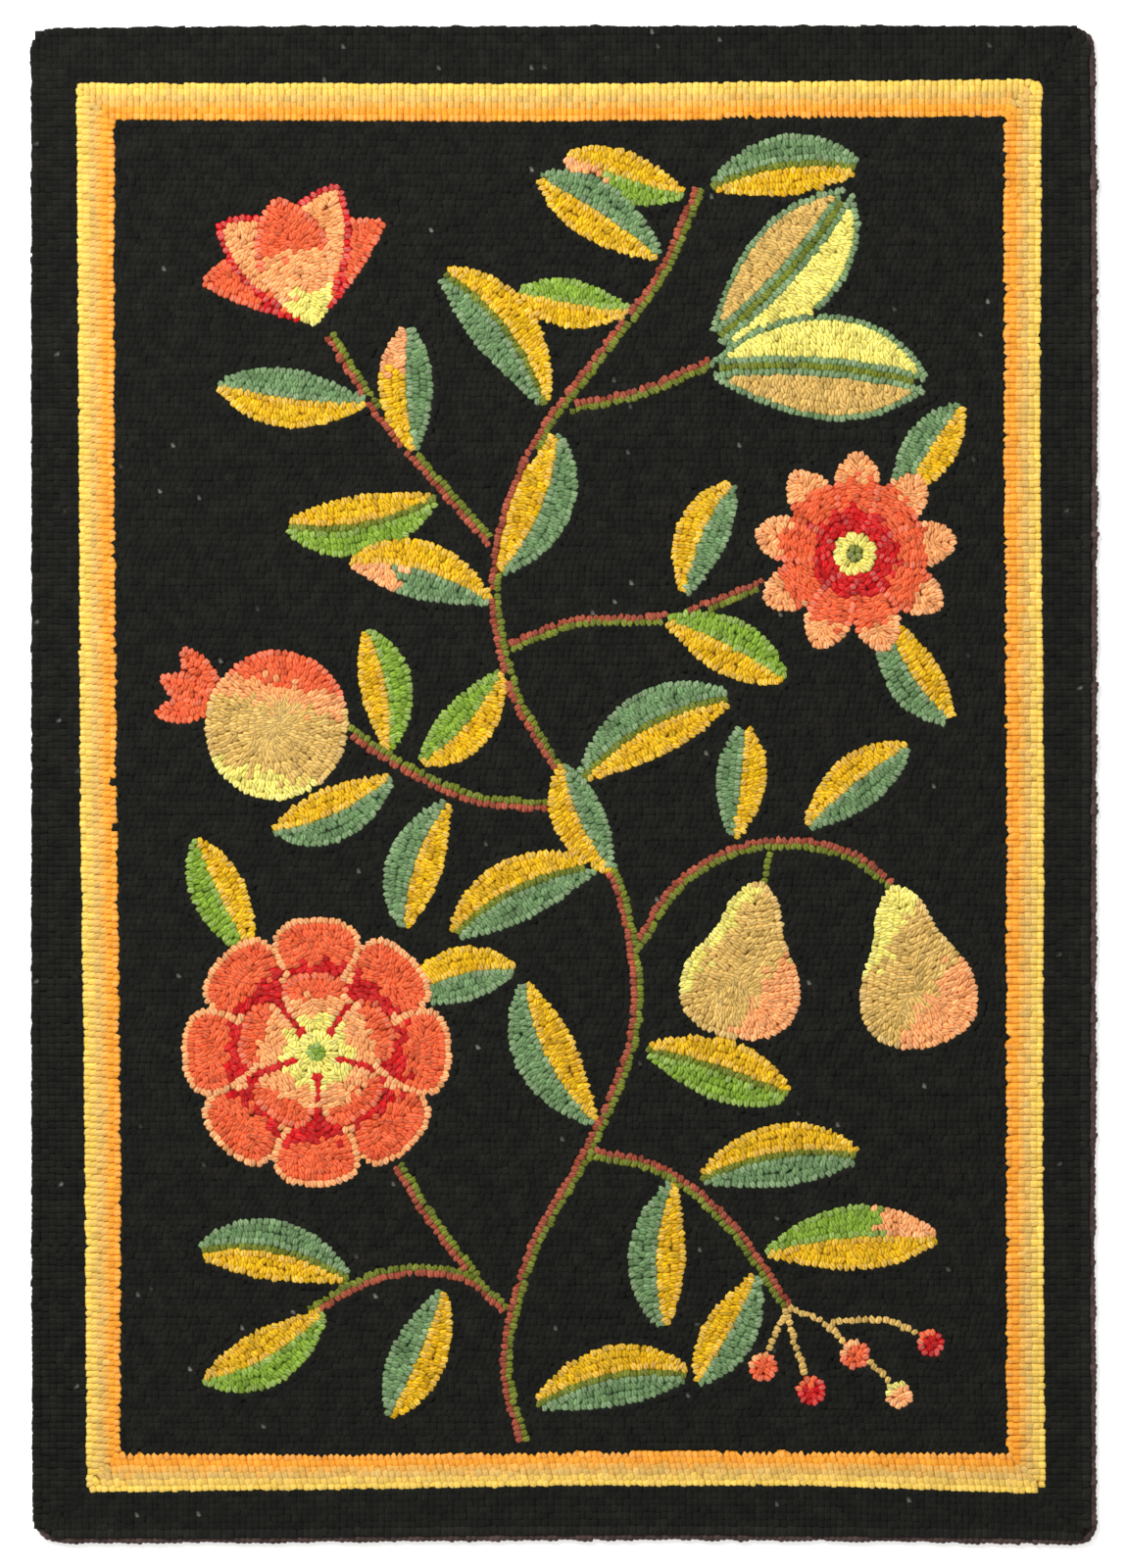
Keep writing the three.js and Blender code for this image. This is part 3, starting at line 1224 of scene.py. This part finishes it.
def wool_material(wool):
    """Bulky worsted wool, dyed in the hank and softly spun: matt, with a faint nap.

    Heathered strands and a tint for every loop vary its colour, and in the frame line it shades
    into the next wool. Painted shade darkens it towards the roots, where neighbours shade it, and
    in the groove between its two plies, and a painted highlight pales its tips. Its fibres give a
    fine bump.
    """
    name = f"{wool}_wool_yarn"
    if name in bpy.data.materials:
        return bpy.data.materials[name]
    yarns = settings().yarns
    material, tree, shader = new_material(name, roughness=0.9, nap=YARNS[wool].nap)
    add = partial(add_node, tree)
    place = add("TexCoord", "Object")
    height = add("SeparateXYZ", "Z", {"Vector": place})
    strand = add("Attribute", "Vector", attribute_name="strand")
    tint, slit, groove_shade, pale = (
        add("Attribute", "Fac", attribute_name=title) for title in ("tint", "slit", "groove", "pale")
    )

    # The dye, then its duller strands, the next wool's shade and the painted highlight on the tips
    patch = add("TexNoise", "Fac", {"Vector": place, "Scale": 1 / HEATHER_PATCH, "Detail": 3.0})
    share = add(
        "MapRange", "Result",
        {"Value": patch, "From Min": 0.42, "From Max": 0.68, "To Max": 0.8},
    )
    shade, heather = (getattr(yarns, f"{wool}_{part}") for part in ("shade", "heather"))
    dyes = [(share, heather)]
    if wool in SHADES_INTO:
        blend = add("Attribute", "Fac", attribute_name="blend")
        dyes.append((blend, getattr(yarns, f"{SHADES_INTO[wool]}_shade")))
    tips = add(
        "MapRange", "Result",
        {"Value": height, "From Min": TIPS[0], "From Max": TIPS[1], "To Max": pale},
    )
    dyes.append((tips, linear(TIP_HIGHLIGHT)))
    dyed = shade
    for part, dye in dyes:
        mixed = {"Factor_Float": part, "A_Color": dyed, "B_Color": dye}
        dyed = add("Mix", "Result_Color", mixed, data_type="RGBA")

    # The fibres, and the groove between the plies, whose painted shade darkens the yarn
    fibres = add("Mapping", "Vector", {"Vector": strand, "Scale": FIBRE_SCALE})
    twist = add("TexNoise", "Fac", {"Vector": fibres, "Scale": 0.5 / FIBRE, "Detail": 2.0})
    fleck = add(
        "MapRange", "Result",
        {"Value": twist, "From Min": 0.3, "From Max": 0.7, "To Min": 0.86, "To Max": 1.1},
    )
    across = {"Vector": strand, "Vector_001": (-GROOVE_SLOPE, 1.0, 0.0)}
    off_groove = add("VectorMath", "Value", across, operation="DOT_PRODUCT")
    off_groove = add("Math", "Value", {"Value": off_groove}, operation="ABSOLUTE")
    groove = add(
        "MapRange", "Result",
        {"Value": off_groove, "From Max": GROOVE, "To Min": groove_shade},
        interpolation_type="SMOOTHSTEP",
    )
    relief = add("Math", "Value", {"Value": twist, "Value_001": groove}, operation="MULTIPLY")

    # How bright the yarn is, from the root up: painted shade at the roots and in the ply groove,
    # times its tint and fibres
    light = add(
        "MapRange", "Result",
        {"Value": height, "From Min": ROOTS[0], "From Max": ROOTS[1], "To Min": slit},
    )
    for factor in (tint, fleck, groove):
        light = add("Math", "Value", {"Value": light, "Value_001": factor}, operation="MULTIPLY")

    colour = add("VectorMath", "Vector", {"Vector": dyed, "Scale": light}, operation="SCALE")
    bump = add("Bump", "Normal", {"Height": relief, "Strength": 0.6, "Distance": 0.4 * MM})
    tree.links.new(colour, shader.inputs["Base Color"])
    tree.links.new(bump, shader.inputs["Normal"])
    return material


# Thread spacing of the cotton cloth, as coarse as a rug's foundation really is, and the size of
# the slubs in its threads
THREAD_PITCH = 1.3 * MM
SLUB = 12 * MM

# The two shades of the cotton, the dark painted shade on its top where it shows between the
# loops, and the heights between them
COTTON = ("#b8a885", "#cabb98")
BED_SHADE = "#24201c"
BED_SHADE_HEIGHTS = (2.4 * MM, 2.8 * MM)


def foundation_material():
    """Unbleached cotton in plain weave: matt and pale, with warp and weft that pass over and under.

    Above, where it shows only between the loops packed into it, it is painted dark as shade.
    """
    material, tree, shader = new_material("woven_cotton_foundation", roughness=0.95, nap=0.1)
    add = partial(add_node, tree)
    place = add("TexCoord", "Object")
    height = add("SeparateXYZ", "Z", {"Vector": place})
    waves = []
    for turn in (0.0, 0.5 * np.pi):
        turned = add("Mapping", "Vector", {"Vector": place, "Rotation": (0.0, 0.0, turn)})
        threads = {"Vector": turned, "Scale": 2 * np.pi / (20 * THREAD_PITCH)}
        waves.append(add("TexWave", "Fac", {**threads, "Distortion": 0.4, "Detail": 1.0}))
    weave = add("Math", "Value", {"Value": waves[0], "Value_001": waves[1]}, operation="MULTIPLY")
    slubs = add("TexNoise", "Fac", {"Vector": place, "Scale": 1 / SLUB, "Detail": 4.0})
    worn = add("MapRange", "Result", {"Value": slubs, "From Min": 0.3, "From Max": 0.7})
    # Painted shade: the top, where the cloth shows between the loops, is dark brown
    bed = add("MapRange", "Result", {"Value": height, "From Min": BED_SHADE_HEIGHTS[0], "From Max": BED_SHADE_HEIGHTS[1]})
    colour = linear(COTTON[0])
    for share, following in ((worn, COTTON[1]), (bed, BED_SHADE)):
        mixed = {"Factor_Float": share, "A_Color": colour, "B_Color": linear(following)}
        colour = add("Mix", "Result_Color", mixed, data_type="RGBA")
    bump = add("Bump", "Normal", {"Height": weave, "Strength": 0.6, "Distance": 0.3 * MM})
    tree.links.new(colour, shader.inputs["Base Color"])
    tree.links.new(bump, shader.inputs["Normal"])
    return material


# Foundation cloth and whipped edge


# The hem's rounded side, as distances in from the outline and shares of the cloth's height, and
# the steps of the cloth's outline
HEM_PROFILE = ((0.9, 0.0), (0.25, 0.1), (0.0, 0.3), (0.0, 0.7), (0.25, 0.9), (0.9, 1.0))
HEM_STEPS = 400


def lay_cloth():
    """The foundation cloth: the hem's profile carried round the outline, closed by flat faces.

    Each flat face is a fan of triangles about a point over the rug's centre.
    """
    top = settings().cloth_top / MM
    rings = []
    for by, share in HEM_PROFILE:
        outline = even_points(edge_ring(HEM_ROOM + by), HEM_STEPS)
        rings.append(np.column_stack([outline, np.full(HEM_STEPS, share * top)]))
    points = np.concatenate([*rings, [[0, 0, 0], [0, 0, top]]])
    here = np.arange(HEM_STEPS)
    ahead = (here + 1) % HEM_STEPS
    faces = []
    for start in np.arange(len(HEM_PROFILE) - 1) * HEM_STEPS:
        above, above_ahead = here + HEM_STEPS, ahead + HEM_STEPS
        faces.append(np.stack([here, ahead, above_ahead], axis=1) + start)
        faces.append(np.stack([here, above_ahead, above], axis=1) + start)
    last = (len(HEM_PROFILE) - 1) * HEM_STEPS
    under, over = (np.full(HEM_STEPS, len(points) - back) for back in (2, 1))
    faces.append(np.stack([ahead, here, under], axis=1))
    faces.append(np.stack([here + last, ahead + last, over], axis=1))
    piece = mesh_object("foundation_cloth", points, np.concatenate(faces), smooth_shaded=False)
    return finish_piece(piece, foundation_material(), "foundation_cloth", "hooked_mat")


# Points round the cord and along each turn of its yarn
WHIP_SIDES = 10
WHIP_STATIONS = 4

# How deep the valleys between the turns are as a share of the cord's size, the power that makes
# the turns' backs broad, how much of a turn each one slants by on its way round, and how bright
# the painted shade leaves the cord among the roots of the loops and in its yarn's groove
WHIP_RIDGE = 0.22
WHIP_BREADTH = 0.7
WHIP_SLANT = 0.9
CORD_SHADE = 0.72

# Strips that the cord is laid out in on its bake map, and the room left beside each
WHIP_STRIPS = 14
STRIP_ROOM = 0.05

# Unevenness of the turns: how much any turn and its neighbour swell or thin, the share of the
# turns that bulge and by how much, and how much they differ in tint and at most
TURN_SWELL = 0.11
BULGE_SHARE = 0.1
BULGE = (0.15, 0.4)
TURN_TINT = 0.12
TURN_TINTS = (0.7, 1.3)

# On the left and top sides, which the loops cover, the turns are this much calmer and, as painted
# shade from the loops over them, this much darker
COVERED_CALM = 0.2
COVERED_SHADE = 0.45

# Length of yarn from the fibres of one turn to those of the next
TURN_LENGTH = 7

# How far the cord's crests stand out from the rug's outline
CORD_PROUD = {"bottom": 0.9, "right": 0.9, "top": 0.2, "left": 0.2}


def whip_cord():
    """The filler cord whipped with yarn: an ellipse carried round the edge, ridged by its turns.

    With s the turns so far along the edge and a the angle round the cord, the ellipse is
    narrowed by ridge * (1 - |sin(pi * (s + slant * a / (2 pi)))| ^ breadth), and swelled by a
    random amount for each turn. It goes no lower than the floor.
    """
    rug = settings()
    half = 0.5 * rug.edge_width / MM
    line = edge_ring({side: half - proud for side, proud in CORD_PROUD.items()})
    length_round = np.hypot(*(line - np.roll(line, 1, axis=0)).T).sum()
    turns = int(round(length_round / (rug.whip_pitch / MM)))
    count = turns * WHIP_STATIONS
    middle = even_points(line, count)
    along = np.roll(middle, -1, axis=0) - np.roll(middle, 1, axis=0)
    along /= np.hypot(*along.T)[:, None]
    outward = np.stack([along[:, 1], -along[:, 0]], axis=1)
    angle = np.arange(WHIP_SIDES) * 2 * np.pi / WHIP_SIDES
    random = np.random.default_rng(rug.seed)
    swell = random.normal(0, TURN_SWELL, turns)
    swell += np.roll(swell, 1)
    swell += np.where(random.random(turns) < BULGE_SHARE, random.uniform(*BULGE, turns), 0.0)
    covered = outward[:, 0] < outward[:, 1]
    swell = swell.repeat(WHIP_STATIONS) * np.where(covered, COVERED_CALM, 1.0)
    turned = (np.arange(count) / WHIP_STATIONS)[:, None] + WHIP_SLANT * angle / (2 * np.pi)
    size = 1 - WHIP_RIDGE * (1 - np.abs(np.sin(np.pi * turned)) ** WHIP_BREADTH)
    size *= 1 + swell[:, None]
    across = half * np.cos(angle) * size
    height = np.maximum(0.5 * EDGE_TOP / MM * (1 + np.sin(angle) * size), 0)
    plan = middle[:, None] + across[..., None] * outward[:, None]
    points = np.concatenate([plan, height[..., None]], axis=2)
    station, side = (grid.ravel() for grid in np.indices((count, WHIP_SIDES)))
    next_station, next_side = (station + 1) % count, (side + 1) % WHIP_SIDES
    faces = np.stack(
        [
            station * WHIP_SIDES + side,
            next_station * WHIP_SIDES + side,
            next_station * WHIP_SIDES + next_side,
            station * WHIP_SIDES + next_side,
        ],
        axis=1,
    )
    piece = mesh_object("whipping", points.reshape(-1, 3), faces)
    tint = random.normal(1.0, TURN_TINT, turns).clip(*TURN_TINTS).repeat(WHIP_STATIONS)
    # Painted shade on the sides that the loops cover
    tint *= np.where(covered, COVERED_SHADE, 1.0)
    add_attribute(piece, "tint", "FLOAT", tint.repeat(WHIP_SIDES))
    # Painted shade among the loops' roots and in the yarn's groove, and no painted highlight on the
    # tips
    for title, value in (("slit", CORD_SHADE), ("groove", CORD_SHADE), ("pale", 0.0)):
        add_attribute(piece, title, "FLOAT", np.full(count * WHIP_SIDES, value))
    turn = np.floor(turned)
    off_middle = (turned - turn - 0.5) * rug.whip_pitch / MM
    strand = np.broadcast_arrays(half * angle, off_middle, TURN_LENGTH * turn)
    add_attribute(piece, "strand", "FLOAT_VECTOR", np.stack(strand, axis=2))
    u = np.stack([station, station + 1, station + 1, station], axis=1) / count * WHIP_STRIPS
    strip = np.floor(u[:, :1] + 1e-9)
    v = (1 - 2 * STRIP_ROOM) * np.stack([side, side, side + 1, side + 1], axis=1) / WHIP_SIDES
    v = (strip + STRIP_ROOM + v) / WHIP_STRIPS
    add_bake_map(piece, np.stack([np.clip(u - strip, 0, 1), v], axis=2))
    return finish_piece(piece, wool_material("edge"), YARNS["edge"].slot, "whipped_edge")


# Stage


# The camera looks straight down from this height, over this point, and sees this length of the
# top of the pile
CAMERA_HEIGHT = 5.0
VIEW_LENGTH = 0.7862
VIEW_CENTRE = (-0.0007, 0.0004)
SENSOR_WIDTH = 36

# The floor reaches this far each way, lies just under the rug and glows faintly, as a lit white
# table does, so that it takes hardly any shadow
FLOOR_HALF = 6.0
FLOOR_DROP = 0.0003
FLOOR_GLOW = 0.4

# Power, width and place of the lamp, and strength of the sky
LAMP_POWER = 50
LAMP_SIZE = 0.9
LAMP_PLACE = (-0.9, 1.1, 1.9)
SKY_STRENGTH = 0.72


def set_stage(scene):
    """A white floor, an even pale sky, one large soft lamp from the upper left, and the camera."""
    corners = np.array([[-1, -1, 0], [1, -1, 0], [1, 1, 0], [-1, 1, 0]]) * FLOOR_HALF
    corners = corners - (0, 0, FLOOR_DROP)
    floor = mesh_object("floor", corners / MM, np.array([[0, 1, 2, 3]]), smooth_shaded=False)
    material, _, shader = new_material("matt_white_card", roughness=0.9, nap=0.0)
    shader.inputs["Base Color"].default_value = linear("#f4f4f2")
    shader.inputs["Emission Color"].default_value = linear("#ffffff")
    shader.inputs["Emission Strength"].default_value = FLOOR_GLOW
    floor.data.materials.append(material)

    scene.world = bpy.data.worlds.new("even_pale_sky")
    scene.world.use_nodes = True
    sky = scene.world.node_tree.nodes["Background"]
    sky.inputs["Color"].default_value = linear("#fbfaf8")
    sky.inputs["Strength"].default_value = SKY_STRENGTH

    lamp = bpy.data.lights.new("soft_lamp", "AREA")
    lamp.shape = "DISK"
    lamp.size = LAMP_SIZE
    lamp.energy = LAMP_POWER
    lamp_object = bpy.data.objects.new("soft_lamp", lamp)
    lamp_object.location = LAMP_PLACE
    lamp_object.rotation_euler = lamp_object.location.to_track_quat("Z", "Y").to_euler()
    scene.collection.objects.link(lamp_object)

    camera = bpy.data.cameras.new("camera")
    camera.sensor_width = SENSOR_WIDTH
    camera.lens = SENSOR_WIDTH * (CAMERA_HEIGHT - PILE_TOP) / VIEW_LENGTH
    camera_object = bpy.data.objects.new("camera", camera)
    camera_object.location = (*VIEW_CENTRE, CAMERA_HEIGHT)
    scene.collection.objects.link(camera_object)
    scene.camera = camera_object
    scene.view_settings.view_transform = "Standard"


# Operators


class RUG_OT_hook_border(Operator):
    """Hook the black rows between the edge and the frame line"""

    bl_idname = "rug.hook_border"
    bl_label = "Hook border"

    def execute(self, context):
        hook_piece("border_loops", "black", planned().zones == BORDER)
        return {"FINISHED"}


class RUG_OT_hook_frame_line(Operator):
    """Hook the frame line, one piece for each of its wools"""

    bl_idname = "rug.hook_frame_line"
    bl_label = "Hook frame line"

    def execute(self, context):
        loops = planned()
        for wool in dict.fromkeys(FRAME_WOOLS):
            keep = (loops.zones == FRAME) & (loops.wools == YARN_NAMES.index(wool))
            hook_piece(f"frame_line_{wool}", wool, keep)
        return {"FINISHED"}


class RUG_OT_hook_ground(Operator):
    """Hook the black ground, in bands from the bottom of the rug to its top"""

    bl_idname = "rug.hook_ground"
    bl_label = "Hook ground"

    def execute(self, context):
        ground = np.flatnonzero(planned().zones == GROUND)
        ground = ground[np.argsort(planned().points[ground, 1], kind="stable")]
        bands = int(np.ceil(len(ground) / MOST_LOOPS))
        for index, keep in enumerate(np.array_split(ground, bands)):
            hook_piece(f"ground_loops_{index + 1}", "black", keep)
        return {"FINISHED"}


class RUG_OT_hook_motifs(Operator):
    """Hook the leaves, stems, flowers and fruit, one piece for each wool"""

    bl_idname = "rug.hook_motifs"
    bl_label = "Hook motifs"

    def execute(self, context):
        loops = planned()
        for index in np.unique(loops.wools[loops.zones == MOTIF]):
            wool = YARN_NAMES[index]
            hook_piece(f"motif_{wool}", wool, (loops.zones == MOTIF) & (loops.wools == index))
        return {"FINISHED"}


class RUG_OT_whip_edge(Operator):
    """Whip the cord round the edge with brownish black yarn"""

    bl_idname = "rug.whip_edge"
    bl_label = "Whip edge"

    def execute(self, context):
        whip_cord()
        return {"FINISHED"}


class RUG_OT_lay_foundation(Operator):
    """Lay the foundation cloth under all that is worked on it"""

    bl_idname = "rug.lay_foundation"
    bl_label = "Lay foundation"

    def execute(self, context):
        cloth = lay_cloth()
        return {"FINISHED"}


class RUG_OT_set_stage(Operator):
    """Set the pale floor, the soft light and the camera straight above"""

    bl_idname = "rug.set_stage"
    bl_label = "Set stage"

    def execute(self, context):
        set_stage(context.scene)
        return {"FINISHED"}


# Sidebar and registration


OPERATORS = (
    RUG_OT_hook_border,
    RUG_OT_hook_frame_line,
    RUG_OT_hook_ground,
    RUG_OT_hook_motifs,
    RUG_OT_whip_edge,
    RUG_OT_lay_foundation,
    RUG_OT_set_stage,
)


class RUG_PT_sidebar(Panel):
    """Sizes, yarns and the steps that make the rug"""

    bl_idname = "RUG_PT_sidebar"
    bl_label = "Hooked rug"
    bl_space_type = "VIEW_3D"
    bl_region_type = "UI"
    bl_category = "Rug"

    def draw(self, context):
        rug = context.scene.hooked_rug
        sizes = self.layout.column()
        for name in (
            "pitch_across", "pitch_along", "pile_top", "cloth_top", "edge_width", "whip_pitch", "seed",
        ):
            sizes.prop(rug, name)
        colours = self.layout.column()
        for name in YARN_NAMES:
            row = colours.row()
            row.prop(rug.yarns, f"{name}_shade")
            row.prop(rug.yarns, f"{name}_heather", text="")
        steps = self.layout.column()
        for operator in OPERATORS:
            steps.operator(operator.bl_idname)


CLASSES = (RugYarns, RugSettings, *OPERATORS, RUG_PT_sidebar)


def register():
    for cls in CLASSES:
        bpy.utils.register_class(cls)
    bpy.types.Scene.hooked_rug = PointerProperty(type=RugSettings)


def unregister():
    del bpy.types.Scene.hooked_rug
    for cls in reversed(CLASSES):
        bpy.utils.unregister_class(cls)


def main():
    register()
    bpy.ops.rug.hook_border()
    bpy.ops.rug.hook_frame_line()
    bpy.ops.rug.hook_ground()
    bpy.ops.rug.hook_motifs()
    bpy.ops.rug.whip_edge()
    bpy.ops.rug.lay_foundation()
    bpy.ops.rug.set_stage()


if __name__ == "__main__":
    main()
